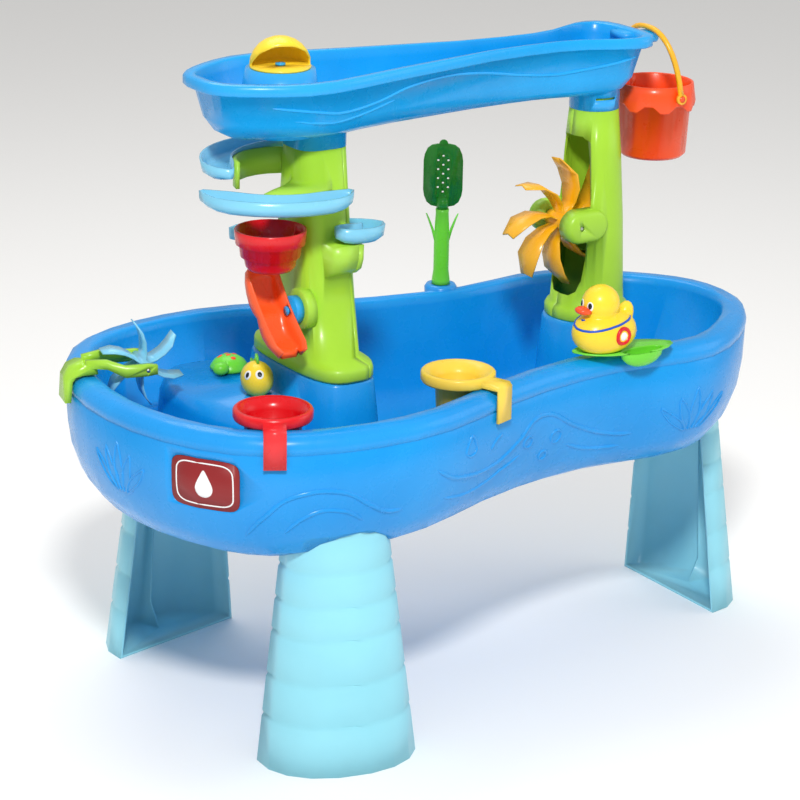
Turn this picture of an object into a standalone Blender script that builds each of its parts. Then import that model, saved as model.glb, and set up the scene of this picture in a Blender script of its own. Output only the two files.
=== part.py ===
"""Sand and water table: a peanut-shaped tub on three legs, with two water towers and a tray above.

Metres, +Z up.  X runs along the table, from the spiral tower at the left to the wheel tower at
the right, and Y runs away from the player.  Shapes are drawn in the tub's own frame, whose
origin is on the ground under the tub's middle, and the empty "table" moves them so that the
whole model is centred on the world origin.
"""

import math

import bmesh
import bpy
from mathutils import Matrix, Vector

# Driving dimensions
TABLE_SHIFT = Vector((-0.0171, 0.0, 0.0))
GAP = 0.0003

TUB_LEFT = -0.504
TUB_RIGHT = 0.5315
TUB_HALF_WIDTHS = (0.4587, 0.3727, 0.3043, 0.2277, 0.2068, 0.2566, 0.2288)
TUB_ROUNDNESS = (2.0, 2.23)
RIM_TOP = 0.4685
TUB_BOTTOM = 0.283
TUB_FLOOR = 0.287
DECK_TOP = 0.465
SHELF_TOP = 0.425
TUB_STEPS = 52

BADGE_CENTRE = Vector((-0.4495, -0.1870, 0.3985))
BADGE_HALF = (0.0465, 0.0340)
BADGE_DEPTH = 0.0022

TRAY_LEFT = -0.3577
TRAY_RIGHT = 0.3455
TRAY_HALF_WIDTHS = (0.0913, 0.114, 0.0867, 0.0563, 0.0366, 0.0421, 0.1166)
TRAY_ROUNDNESS = 3.5
TRAY_TOP = 0.871
TRAY_BOTTOM = 0.787
TRAY_FLOOR = 0.7905
TRAY_STEPS = 40

LEG_TOP = 0.352
LEG_HALF_WIDTH = 0.108
LEG_DEPTH = 0.086
LEG_WALL = 0.004
LEG_TAPER = (0.120, 0.068)
LEG_LEAN = 0.045
LEG_ROUNDNESS = 2.2
LEG_GROOVES = (0.066, 0.121, 0.181, 0.225, 0.270, 0.319)
LEG_PLACES = {
    "leg_front_left": (Vector((-0.270, -0.215)), Vector((-0.227, -0.974))),
    "leg_back_left": (Vector((-0.270, 0.215)), Vector((-0.227, 0.974))),
    "leg_right": (Vector((0.4568, 0.0)), Vector((1.0, 0.0))),
}

SPIRAL_TOWER = Vector((-0.177, 0.0))
SPIRAL_SEAM = -0.155
COLLAR_BOTTOM = 0.765
WHEEL_TOWER = Vector((0.281, 0.0))
WHEEL_AXIS = Vector((0.231, 0.0, 0.606))
WHEEL_RADIUS = 0.0925
WHEEL_PETALS = 8
PETAL_CURL = math.radians(34)
WHEEL_AXLE_RADIUS = 0.004

DOME_CENTRE = Vector((-0.230, 0.0))
DOME_BASE = 0.873
DOME_RADIUS = 0.0405
DOME_FACING = math.radians(-108)

CHUTE_PIVOT = Vector((-0.2262, -0.040, 0.556))
CHUTE_MIDDLE = Vector((-0.2615, -0.0378, 0.5540))
CHUTE_LENGTH = 0.128
CHUTE_TILT = math.radians(47)

CHANNEL_WALL = 0.0026
# Each arc: centre, radius, start and end angle, rim heights there, half width and depth
CHANNELS = {
    "upper_channel": ((-0.236, -0.019), 0.0880, (58, 190), (0.7660, 0.7560), 0.0215, 0.0210),
    "middle_channel": ((-0.235, 0.021), 0.1215, (194, 302), (0.7270, 0.7215), 0.0220, 0.0225),
}
LOWER_CHANNEL_PATH = ((-0.1840, -0.0665), (-0.1620, -0.0690), (-0.1400, -0.0690), (-0.1215, -0.0590),
                      (-0.1200, -0.0430), (-0.1380, -0.0230), (-0.1750, 0.0030), (-0.2150, 0.0250),
                      (-0.2500, 0.0370), (-0.2820, 0.0400))
SCOOP_FLOOR = 0.6435

FUNNEL_CENTRE = Vector((-0.2665, -0.038))

BUCKET_CENTRE = Vector((0.387, 0.0))
BUCKET_PIVOT = Vector((0.387, 0.0, 0.7755))
BUCKET_RIM = 0.791
BUCKET_BOTTOM = 0.6845
PEG_TOP = 0.868
HANDLE_APEX = Vector((0.368, 0.0, 0.8700))
HANDLE_THICKNESS = 0.0080

SPINNER_CENTRE = Vector((-0.398, 0.075, 0.478))
SPINNER_RADIUS = 0.058
CLIP_TURN = math.radians(-14)

LAUNCHER_CENTRE = Vector((0.198, -0.1954))
LAUNCHER_HINGE = Vector((-0.004, 0.0140))
LAUNCHER_BOWL = Vector((0.215, -0.2165, 0.4765))
LEAF_HEIGHT = 0.4758
LAUNCHER_TURN = math.radians(-12.3)
DUCK_PLACE = Vector((0.1690, -0.1900, 0.4790))

SCOOP_PLACE = Vector((0.162, 0.196))
SCOOP_TURN = math.radians(-33)

RED_CUP = (Vector((-0.3500, -0.1866)), math.radians(241), 0.0515, 0.735)
YELLOW_CUP = (Vector((-0.0605, -0.1775)), math.radians(-70), 0.050, 0.62)

BLUE = (0.015, 0.31, 0.80)
TRAY_BLUE = (0.03, 0.37, 0.86)
ICE = (0.33, 0.72, 0.88)
LIME = (0.38, 0.67, 0.05)
RED = (0.72, 0.004, 0.02)
ORANGE = (1.0, 0.10, 0.012)
YELLOW = (1.0, 0.72, 0.03)
AMBER = (0.87, 0.42, 0.01)
GREEN = (0.0, 0.26, 0.004)
SPRING_GREEN = (0.16, 0.72, 0.10)
STEEL = (0.55, 0.56, 0.58)


# Building tools

def clear_scene():
    for old in list(bpy.data.objects):
        bpy.data.objects.remove(old, do_unlink=True)


def make_material(name, colour, roughness, metallic=0.0):
    material = bpy.data.materials.new(name)
    material.use_nodes = True
    shader = material.node_tree.nodes["Principled BSDF"]
    shader.inputs["Base Color"].default_value = (*colour, 1.0)
    shader.inputs["Roughness"].default_value = roughness
    shader.inputs["Metallic"].default_value = metallic
    return material


def finish(name, mesh_builder, colour, origin=(0, 0, 0), roughness=0.3, metallic=0.0):
    """Turns a bmesh drawn in the tub's frame into an object whose origin is at the given point."""
    bmesh.ops.remove_doubles(mesh_builder, verts=mesh_builder.verts, dist=1e-6)
    bmesh.ops.recalc_face_normals(mesh_builder, faces=mesh_builder.faces)
    mesh = bpy.data.meshes.new(name)
    mesh_builder.to_mesh(mesh)
    mesh_builder.free()
    origin = Vector(origin)
    mesh.transform(Matrix.Translation(-origin))
    mesh.shade_smooth()
    mesh.set_sharp_from_angle(angle=math.radians(35))
    mesh.materials.append(make_material(name, colour, roughness, metallic))
    thing = bpy.data.objects.new(name, mesh)
    thing.location = origin
    bpy.context.scene.collection.objects.link(thing)
    thing.parent = bpy.data.objects["table"]
    return thing


def cutter(name, mesh_builder):
    tool = finish(name, mesh_builder, (0.5, 0.5, 0.5))
    tool.hide_render = True
    tool.display_type = "WIRE"
    return tool


def combine(target, tool, operation):
    step = target.modifiers.new(f"{operation.lower()} {tool.name}", "BOOLEAN")
    step.operation = operation
    step.solver = "EXACT"
    step.object = tool


def add(target, mesh_builder):
    tool = cutter(f"{target.name}_add{len(target.modifiers)}", mesh_builder)
    combine(target, tool, "UNION")


def cut(target, mesh_builder):
    tool = cutter(f"{target.name}_cut{len(target.modifiers)}", mesh_builder)
    combine(target, tool, "DIFFERENCE")


def loft(rings, builder=None, closed=False):
    """Joins rings of points with quads.  An open loft is capped at both ends."""
    builder = builder or bmesh.new()
    rows = [[builder.verts.new(point) for point in ring] for ring in rings]
    count = len(rows[0])
    pairs = list(zip(rows, rows[1:]))
    if closed:
        pairs.append((rows[-1], rows[0]))
    for lower, upper in pairs:
        for i in range(count):
            j = (i + 1) % count
            builder.faces.new((lower[i], lower[j], upper[j], upper[i]))
    if not closed:
        builder.faces.new(rows[0])
        builder.faces.new(rows[-1])
    return builder


def turned(profile, steps, centre=(0, 0, 0), axis="Z", builder=None):
    """Spins a closed (radius, height) outline about an axis through the centre."""
    builder = builder or bmesh.new()
    turn = {"Z": Matrix.Identity(3), "Y": Matrix.Rotation(math.pi / 2, 3, "X"),
            "X": Matrix.Rotation(math.pi / 2, 3, "Y")}[axis]
    part = bmesh.new()
    points = [part.verts.new((radius, 0, height)) for radius, height in profile]
    edges = [part.edges.new((a, b)) for a, b in zip(points, points[1:])
             if not (a.co.x < 1e-7 and b.co.x < 1e-7)]
    if profile[0][0] > 1e-7 or profile[-1][0] > 1e-7:
        edges.append(part.edges.new((points[-1], points[0])))
    loose = [point for point in points if not point.link_edges]
    bmesh.ops.delete(part, geom=loose, context="VERTS")
    bmesh.ops.spin(part, geom=part.verts[:] + part.edges[:], cent=(0, 0, 0), axis=(0, 0, 1),
                   angle=2 * math.pi, steps=steps, use_merge=True)
    bmesh.ops.remove_doubles(part, verts=part.verts, dist=1e-6)
    bmesh.ops.transform(part, matrix=Matrix.Translation(centre) @ turn.to_4x4(), verts=part.verts)
    scratch = bpy.data.meshes.new("scratch")
    part.to_mesh(scratch)
    part.free()
    builder.from_mesh(scratch)
    bpy.data.meshes.remove(scratch)
    return builder


def cylinder(radius, low, high, centre, axis="Z", steps=24, builder=None):
    """A plain round bar between two heights along the axis, measured from the centre."""
    if axis == "Y":
        low, high = -high, -low
    profile = ((0, low), (radius, low), (radius, high), (0, high))
    return turned(profile, steps, centre, axis, builder)


def block(low, high, builder=None):
    builder = builder or bmesh.new()
    low, high = Vector(low), Vector(high)
    middle = Matrix.Translation((low + high) / 2)
    size = high - low
    bmesh.ops.create_cube(builder, size=1.0, matrix=middle @ Matrix.Diagonal((*size, 1.0)))
    return builder


def smooth_value(values, place):
    """A smooth curve through evenly spaced values, for a place from -1 to 1."""
    position = (place + 1) / 2 * (len(values) - 1)
    start = min(int(position), len(values) - 2)
    part = position - start
    before = values[max(start - 1, 0)]
    first, second = values[start], values[start + 1]
    after = values[min(start + 2, len(values) - 1)]
    return 0.5 * (2 * first + (second - before) * part
                  + (2 * before - 5 * first + 4 * second - after) * part ** 2
                  + (3 * first - before - 3 * second + after) * part ** 3)


def round_corner(angle, roundness):
    """A point of the unit superellipse: a circle at 2, squarer above."""
    across, up = math.cos(angle), math.sin(angle)
    return (math.copysign(abs(across) ** (2 / roundness), across),
            math.copysign(abs(up) ** (2 / roundness), up))


def tub_ring(inset, height):
    """The tub's waisted outline, moved inwards by the inset."""
    middle, half_length = (TUB_LEFT + TUB_RIGHT) / 2, (TUB_RIGHT - TUB_LEFT) / 2
    points = []
    for i in range(TUB_STEPS):
        angle = 2 * math.pi * (i + 0.5) / TUB_STEPS
        place, side = round_corner(angle, TUB_ROUNDNESS[math.cos(angle) > 0])
        width = smooth_value(TUB_HALF_WIDTHS, place)
        points.append(Vector((middle + half_length * place, width * side)))
    ring = []
    for i, point in enumerate(points):
        along = points[(i + 1) % TUB_STEPS] - points[i - 1]
        inward = Vector((-along.y, along.x)).normalized()
        moved = point + inward * inset
        ring.append(Vector((moved.x, moved.y, height)))
    return ring


def outer_ring(inset, height):
    """The tub's outside at one height: below the rim the two ends are fuller than the waist."""
    fullness = 0.5 * min(1.0, max(0.0, (height - 0.290) / 0.075))
    if height > 0.44:
        fullness = 0.0
    middle, half_length = (TUB_LEFT + TUB_RIGHT) / 2, (TUB_RIGHT - TUB_LEFT) / 2
    ring = []
    for edge, inner in zip(tub_ring(0.0, height), tub_ring(inset, height)):
        place = (edge.x - middle) / half_length
        ring.append(inner.lerp(edge, fullness * min(1.0, (place / 0.8) ** 2)))
    return ring


def tray_ring(inset, height):
    """The tray's outline, drawn smaller by the inset, which shrinks with the narrow neck."""
    middle = (TRAY_LEFT + TRAY_RIGHT) / 2
    half_length = (TRAY_RIGHT - TRAY_LEFT) / 2 - inset
    ring = []
    for i in range(TRAY_STEPS):
        place, side = round_corner(2 * math.pi * (i + 0.5) / TRAY_STEPS, TRAY_ROUNDNESS)
        width = smooth_value(TRAY_HALF_WIDTHS, place)
        width -= inset * min(1.0, width / 0.09)
        ring.append(Vector((middle + half_length * place, width * side, height)))
    return ring


def soft_box_ring(centre, half_x, half_y, height, roundness=4.0, steps=28):
    ring = []
    for i in range(steps):
        x, y = round_corner(2 * math.pi * (i + 0.5) / steps, roundness)
        ring.append(Vector((centre[0] + half_x * x, centre[1] + half_y * y, height)))
    return ring


def soft_box(centre, sections, roundness=4.0, steps=28, builder=None):
    """A rounded block through sections of (half size in X, half size in Y, height)."""
    rings = [soft_box_ring(centre, x, y, z, roundness, steps) for x, y, z in sections]
    return loft(rings, builder)


def pill(point, scale, turn=Matrix.Identity(3), steps=(20, 12), builder=None):
    """An ellipsoid."""
    builder = builder or bmesh.new()
    matrix = Matrix.Translation(point) @ turn.to_4x4() @ Matrix.Diagonal((*scale, 1.0))
    bmesh.ops.create_uvsphere(builder, u_segments=steps[0], v_segments=steps[1], radius=1.0,
                              matrix=matrix)
    return builder


# Legs

def leg_size(height):
    return LEG_HALF_WIDTH - LEG_TAPER[0] * height, LEG_DEPTH - LEG_TAPER[1] * height


def leg_middle(place, height):
    """The middle of a leg's open side: the legs splay, so it moves inwards with height."""
    middle, outward = place
    return middle - outward * (LEG_LEAN * height)


def leg_outline(place, height, extra=0.0, groove=0.0, steps=9):
    """The D-shaped section of a leg: its open side is the straight one, towards the middle."""
    middle, outward = leg_middle(place, height), place[1]
    along = Vector((-outward.y, outward.x))
    half, depth = leg_size(height)
    ring = []
    for i in range(steps + 1):
        across, out = round_corner(math.pi * i / steps, LEG_ROUNDNESS)
        sideways = along * across * (half + extra - groove)
        forward = outward * (out * (depth + 2 * extra - groove) - extra)
        flat = middle + sideways + forward
        ring.append(Vector((flat.x, flat.y, height)))
    return ring


def leg_inner(place, height, steps=9):
    middle, outward = leg_middle(place, height), place[1]
    along = Vector((-outward.y, outward.x))
    half, depth = leg_size(height)
    open_side = -0.02
    ring = []
    for i in range(steps + 1):
        across, out = round_corner(math.pi * i / steps, LEG_ROUNDNESS)
        flat = middle + along * across * (half - LEG_WALL) + outward * out * (depth - LEG_WALL)
        ring.append(Vector((flat.x, flat.y, height)))
    for end in (-1, 1):
        flat = middle + along * end * (half - LEG_WALL) + outward * open_side
        ring.append(Vector((flat.x, flat.y, height)))
    return ring


def build_leg(name, place):
    groove_half, groove_deep = 0.004, 0.0022
    levels = [(0.0, 0.0)]
    for groove in LEG_GROOVES:
        levels += [(groove - groove_half, 0.0), (groove, groove_deep), (groove + groove_half, 0.0)]
    levels += [(LEG_TOP - 0.004, 0.0), (LEG_TOP, 0.004)]
    leg = finish(name, loft([leg_outline(place, z, groove=g) for z, g in levels]), ICE)
    cut(leg, loft([leg_inner(place, LEG_WALL), leg_inner(place, LEG_TOP - 0.006)]))
    add(leg, leg_rib(place))
    screw = screw_place(place)
    cut(leg, cylinder(0.0029, LEG_TOP - 0.01, LEG_TOP + 0.01, (screw.x, screw.y, 0), steps=12))


def screw_place(place):
    return leg_middle(place, LEG_TOP) + place[1] * 0.030


def leg_rib(place):
    """The upright rib behind the leg's face, deeper at the foot."""
    outward = place[1]
    along = Vector((-outward.y, outward.x)) * 0.0015
    rings = []
    for height, depth in ((0.002, 0.045), (0.040, 0.022), (0.230, 0.012)):
        outer = leg_middle(place, height) + outward * (leg_size(height)[1] - 0.003)
        inner = outer - outward * depth
        corners = (inner - along, outer - along, outer + along, inner + along)
        rings.append([Vector((p.x, p.y, height)) for p in corners])
    return loft(rings)


def build_leg_screw(name, place):
    spot = screw_place(place)
    head = LEG_TOP - 0.006 - GAP
    profile = ((0, head - 0.003), (0.0045, head - 0.0025), (0.0055, head), (0.0025, head),
               (0.0025, 0.3562), (0.0012, 0.3569), (0, 0.3569))
    finish(name, turned(profile, 12, (spot.x, spot.y, 0)), STEEL, roughness=0.3, metallic=1.0)


# Tub

TUB_OUTSIDE = (
    (0.100, TUB_BOTTOM), (0.069, 0.2845), (0.041, 0.3000), (0.0250, 0.3260),
    (0.0125, 0.3620), (0.0045, 0.3920), (0.0008, 0.4425), (0.0022, 0.4440), (0.0, 0.4458),
    (0.0, 0.4540), (0.0040, 0.4630), (0.0140, RIM_TOP),
)
TUB_INSIDE = (
    (0.1080, TUB_FLOOR), (0.0720, 0.298), (0.0480, 0.340), (0.0370, 0.4560),
    (0.0345, 0.4660), (0.0300, RIM_TOP), (0.0300, RIM_TOP + 0.02),
)


def leg_socket(place):
    """The block inside the tub that the leg's top fits into."""
    outward = place[1]
    along = Vector((-outward.y, outward.x))
    rings = []
    for height, back in ((0.275, 0.012), (0.3575, 0.0055)):
        middle = leg_middle(place, height)
        half = leg_size(height)[0] + 0.0055
        corners = ((-half, -back), (half, -back), (half, 0.15), (-half, 0.15))
        flats = [middle + along * a + outward * b for a, b in corners]
        rings.append([Vector((p.x, p.y, height)) for p in flats])
    return loft(rings)


def tub_hollow():
    """The water space: the tub's inside, less the humps and pedestals that stand in it."""
    hollow = cutter("tub_hollow", loft([tub_ring(inset, z) for inset, z in TUB_INSIDE]))
    for place in LEG_PLACES.values():
        cut(hollow, leg_socket(place))
    cut(hollow, soft_box((-0.1755, 0.004), ((0.0640, 0.1360, 0.280), (0.0520, 0.1180, 0.400),
                                            (0.0470, 0.1110, 0.460), (0.0440, 0.1080, DECK_TOP))))
    cut(hollow, soft_box((-0.262, 0.062), ((0.095, 0.145, 0.280), (0.084, 0.130, 0.405),
                                           (0.076, 0.122, SHELF_TOP)), roundness=2.4))
    cut(hollow, turned(((0, 0.280), (0.0820, 0.280), (0.0680, 0.400), (0.0630, 0.460),
                        (0.0600, DECK_TOP), (0, DECK_TOP)), 28, (*WHEEL_TOWER, 0)))
    return hollow


def build_tub():
    outside = [outer_ring(inset, z) for inset, z in TUB_OUTSIDE]
    tub = finish("tub", loft(outside), BLUE)
    combine(tub, tub_hollow(), "DIFFERENCE")
    add(tub, turned(((0, 0.440), (0.022, 0.440), (0.024, 0.470), (0.021, 0.4745), (0, 0.4745)),
                    20, (*SCOOP_PLACE, 0)))
    for place in LEG_PLACES.values():
        cut(tub, loft([leg_outline(place, z, extra=0.0008) for z in (0.20, LEG_TOP + GAP)]))
        spot = screw_place(place)
        cut(tub, cylinder(0.0028, LEG_TOP - 0.002, 0.3572, (spot.x, spot.y, 0), steps=12))
    cut(tub, soft_box((-0.1755, 0.004), ((0.0600, 0.1300, 0.270), (0.0560, 0.1280, 0.290),
                                         (0.0420, 0.1060, 0.455), (0.0360, 0.1000, 0.4605))))
    cut(tub, turned(((0, 0.270), (0.0770, 0.270), (0.0760, 0.290), (0.0580, 0.455),
                     (0.0520, 0.4605), (0, 0.4605)), 28, (*WHEEL_TOWER, 0)))
    cut(tub, cylinder(0.0105, 0.446, 0.50, (*SCOOP_PLACE, 0), steps=20))
    cut(tub, cylinder(0.0125, 0.27, 0.30, (0.06, 0.0, 0), steps=20))
    recess = cutter("badge_recess", badge_block(0.0004))
    cut(recess, tub_skin(BADGE_DEPTH + GAP))
    combine(tub, recess, "DIFFERENCE")
    return tub


def badge_block(margin=0.0):
    """A rounded square bar through the wall at the badge."""
    outward = Vector((-0.67, -0.742, 0)).normalized()
    along = Vector((-outward.y, outward.x, 0))
    rings = []
    for depth in (-0.04, 0.03):
        ring = []
        for i in range(28):
            across, up = round_corner(2 * math.pi * (i + 0.5) / 28, 6.0)
            ring.append(BADGE_CENTRE + outward * depth + along * across * (BADGE_HALF[0] + margin)
                        + Vector((0, 0, up * (BADGE_HALF[1] + margin))))
        rings.append(ring)
    return loft(rings)


def tub_skin(depth):
    """The tub's middle band, with its outside moved in by the depth."""
    return loft([outer_ring(inset + depth, z) for inset, z in TUB_OUTSIDE[3:7]])


def build_badge():
    badge = finish("badge", badge_block(), RED)
    combine(badge, cutter("badge_face", tub_skin(-0.0006)), "INTERSECT")
    cut(badge, tub_skin(BADGE_DEPTH))


def build_drain_plug():
    profile = ((0, 0.2795), (0.0120, 0.2795), (0.0120, TUB_FLOOR + GAP), (0.017, TUB_FLOOR + GAP),
               (0.0165, 0.2915), (0.006, 0.2925), (0.005, 0.300), (0, 0.3005))
    finish("drain_plug", turned(profile, 18, (0.06, 0, 0)), BLUE, origin=(0.06, 0, 0.287))


# Spiral tower

def tower_section(height):
    """Half sizes of the spiral tower's rounded section."""
    part = (height - 0.487) / (COLLAR_BOTTOM - 0.487)
    return 0.0425 - 0.006 * part, 0.076 - 0.040 * part ** 0.8


def spiral_tower_outside():
    sections = [(0.045, 0.108, DECK_TOP + GAP), (0.0475, 0.1105, 0.4685), (0.0475, 0.1105, 0.4790),
                (0.0455, 0.1080, 0.4850)]
    for height in (0.4870, 0.560, 0.640, 0.700, COLLAR_BOTTOM - GAP):
        half_x, half_y = tower_section(height)
        sections.append((half_x, half_y, height))
    half_x, half_y = tower_section(COLLAR_BOTTOM)
    sections.append((half_x - 0.003, half_y - 0.003, COLLAR_BOTTOM - GAP))
    sections.append((half_x - 0.003, half_y - 0.003, TRAY_BOTTOM - 0.001))
    return soft_box(SPIRAL_TOWER, sections, roundness=3.4, steps=28)


def spiral_tower_inside():
    sections = [(0.0400, 0.1000, 0.45), (0.0400, 0.1000, 0.4800)]
    for height in (0.487, 0.560, 0.640, 0.700, 0.758):
        half_x, half_y = tower_section(height)
        sections.append((half_x - 0.0030, half_y - 0.0030, height))
    half_x, half_y = tower_section(COLLAR_BOTTOM)
    sections.append((half_x - 0.0055, half_y - 0.0055, 0.763))
    sections.append((half_x - 0.0055, half_y - 0.0055, 0.80))
    return soft_box(SPIRAL_TOWER, sections, roundness=3.4, steps=28)


def arc_points(centre, radius, start, end, steps):
    turn = math.radians(end - start)
    angles = [math.radians(start) + turn * i / steps for i in range(steps + 1)]
    return [Vector((centre[0] + radius * math.cos(a), centre[1] + radius * math.sin(a)))
            for a in angles]


def arc_bar(centre, radii, angles, heights, steps=8, builder=None):
    """A flat bar bent round a centre, between two radii, two angles and two heights."""
    inner = arc_points(centre, radii[0], *angles, steps)
    outer = arc_points(centre, radii[1], *angles, steps)
    rings = []
    for a, b in zip(inner, outer):
        rings.append([Vector((a.x, a.y, heights[0])), Vector((b.x, b.y, heights[0])),
                      Vector((b.x, b.y, heights[1])), Vector((a.x, a.y, heights[1]))])
    return loft(rings, builder)


def prism(outline, low, high, axis="Z", builder=None):
    """A flat plate: the outline's two numbers are the other two axes in X, Y, Z order."""
    place = {"X": lambda a, b, c: (c, a, b), "Y": lambda a, b, c: (a, c, b),
             "Z": lambda a, b, c: (a, b, c)}[axis]
    rings = [[Vector(place(a, b, level)) for a, b in outline] for level in (low, high)]
    return loft(rings, builder)


def scoop_bracket(low, high):
    """The bulge on the tower's front that the lower channel's mouth rests on."""
    outline = ((-0.042, 0.5960), (-0.060, 0.6000), (-0.0725, 0.6090), (-0.0775, 0.6220),
               (-0.0785, SCOOP_FLOOR), (-0.042, SCOOP_FLOOR))
    return prism(outline, low, high, "X")


def build_spiral_tower():
    body = finish("spiral_tower_body", spiral_tower_outside(), LIME)
    cut(body, spiral_tower_inside())
    cut(body, block((SPIRAL_SEAM - GAP / 2, -0.2, 0.4), (0.1, 0.2, 0.9)))
    centre, radius, _, _, half_width, _ = CHANNELS["upper_channel"]
    inner = radius - half_width - GAP
    add(body, arc_bar(centre, (inner - 0.0050, inner), (48, 172), (0.7215, 0.7570)))
    centre, radius, _, _, half_width, _ = CHANNELS["middle_channel"]
    shelf = arc_points(centre, radius - half_width - GAP, 236, 296, 8)
    outline = [(-0.2080, 0.0100), (-0.2220, -0.0150), (-0.2430, -0.0340), (-0.2680, -0.0470),
               *((p.x, p.y) for p in shelf), (-0.1750, -0.0400)]
    add(body, prism(outline, 0.7150, 0.7255))
    add(body, scoop_bracket(-0.1950, SPIRAL_SEAM - GAP / 2))
    add(body, turned(((0, 0), (0.0265, 0), (0.0280, 0.0015), (0.0280, 0.0150), (0.0120, 0.0150),
                      (0.0120, 0.0177), (0, 0.0177)), 22, CHUTE_PIVOT, "X"))
    cut(body, cylinder(0.0050 + GAP, -0.01, 0.03, CHUTE_PIVOT, "X", 16))
    cut(body, return_passage())
    cover = finish("spiral_tower_cover", spiral_tower_outside(), LIME)
    cut(cover, spiral_tower_inside())
    cut(cover, block((-0.4, -0.2, 0.4), (SPIRAL_SEAM + GAP / 2, 0.2, 0.9)))
    add(cover, scoop_bracket(SPIRAL_SEAM + GAP / 2, -0.1475))
    cut(cover, return_passage())


def trough(points, rims, half_width, depth, wall, steps=5, ends=3, blunt=0.45, roundness=3.0):
    """An open U-shaped channel with round ends, along plan points at the given rim heights.

    Without a wall it is the solid that such a channel fills.
    """
    count = len(points)
    widths = half_width if isinstance(half_width, list) else [half_width] * count
    depths = depth if isinstance(depth, list) else [depth] * count

    def surface(inset):
        rings = []
        for i, point in enumerate(points):
            before, after = points[max(i - 1, 0)], points[min(i + 1, count - 1)]
            along = (after - before).normalized()
            side = Vector((-along.y, along.x))
            from_end = min(i, count - 1 - i)
            swell = math.sin(math.pi / 2 * min((from_end + blunt) / (ends + blunt), 1.0))
            shift = inset * (1 - from_end / ends) if from_end < ends else 0.0
            middle = point + along * (shift if i < count / 2 else -shift)
            ring = []
            for k in range(steps + 1):
                across, down = round_corner(math.pi * k / steps, roundness)
                flat = middle + side * across * (widths[i] * swell - inset)
                drop = down * (depths[i] * (0.55 + 0.45 * swell) - inset)
                ring.append(Vector((flat.x, flat.y, rims[i] - drop)))
            rings.append(ring)
        return rings

    if wall is None:
        return loft(surface(0.0))
    builder = bmesh.new()
    skins = []
    for inset in (0.0, wall):
        rows = [[builder.verts.new(point) for point in ring] for ring in surface(inset)]
        for lower, upper in zip(rows, rows[1:]):
            for k in range(steps):
                builder.faces.new((lower[k], lower[k + 1], upper[k + 1], upper[k]))
        builder.faces.new(rows[0])
        builder.faces.new(rows[-1])
        skins.append([row[0] for row in rows] + [row[-1] for row in reversed(rows)])
    outer, inner = skins
    for i in range(len(outer)):
        j = (i + 1) % len(outer)
        builder.faces.new((outer[i], outer[j], inner[j], inner[i]))
    return builder


def build_channel(name):
    centre, radius, angles, rims, half_width, depth = CHANNELS[name]
    steps = 14
    points = arc_points(centre, radius, *angles, steps)
    heights = [rims[0] + (rims[1] - rims[0]) * i / steps for i in range(steps + 1)]
    shell = trough(points, heights, half_width, depth, CHANNEL_WALL)
    channel = finish(name, shell, ICE)
    outlet = points[-2]
    cut(channel, cylinder(0.006, heights[-1] - 0.06, heights[-1], (outlet.x, outlet.y, 0), steps=12))


def lower_channel_path():
    """Centre line of the lower channel: round the tower's front corner and out at its back left."""
    corners = [Vector(p) for p in LOWER_CHANNEL_PATH]
    points = []
    for i in range(len(corners) - 1):
        before, after = corners[max(i - 1, 0)], corners[min(i + 2, len(corners) - 1)]
        for part in (0.0, 0.5):
            first, second = corners[i], corners[i + 1]
            points.append(0.5 * (2 * first + (second - before) * part
                                 + (2 * before - 5 * first + 4 * second - after) * part ** 2
                                 + (3 * first - before - 3 * second + after) * part ** 3))
    return points + [corners[-1]]


def lower_channel_widths(count):
    """Half widths along the lower channel: a wide mouth, then a narrower run."""
    return [0.0165 if i < count * 0.42 else 0.0135 for i in range(count)]


def build_lower_channel():
    points = lower_channel_path()
    steps = len(points) - 1
    heights = [0.668 - 0.013 * i / steps for i in range(steps + 1)]
    shell = trough(points, heights, lower_channel_widths(len(points)), 0.0225, CHANNEL_WALL, ends=2)
    channel = finish("lower_channel", shell, ICE)
    outlet = points[-2]
    cut(channel, cylinder(0.005, 0.60, 0.65, (outlet.x, outlet.y, 0), steps=12))


def return_passage():
    """The opening that the lower channel takes through the tower, with room all round."""
    points = lower_channel_path()
    steps = len(points) - 1
    heights = [0.668 - 0.013 * i / steps + 0.0027 for i in range(steps + 1)]
    widths = [width + 0.0012 for width in lower_channel_widths(len(points))]
    return trough(points, heights, widths, 0.0225 + 0.0045, None, ends=2)


def build_funnel():
    profile = ((0.0100, 0.6165), (0.0290, 0.6165), (0.0330, 0.6215), (0.0350, 0.6330),
               (0.0395, 0.6345), (0.0415, 0.6500), (0.0460, 0.6515), (0.0475, 0.6690),
               (0.0470, 0.6710), (0.0450, 0.6710), (0.0435, 0.6540), (0.0390, 0.6530),
               (0.0370, 0.6370), (0.0325, 0.6360), (0.0305, 0.6230), (0.0270, 0.6190),
               (0.0100, 0.6190))
    funnel = finish("funnel", turned(profile, 24, (*FUNNEL_CENTRE, 0)), RED)
    add(funnel, block((-0.2240, -0.046, 0.655), (-0.2166, -0.030, 0.667)))


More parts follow.
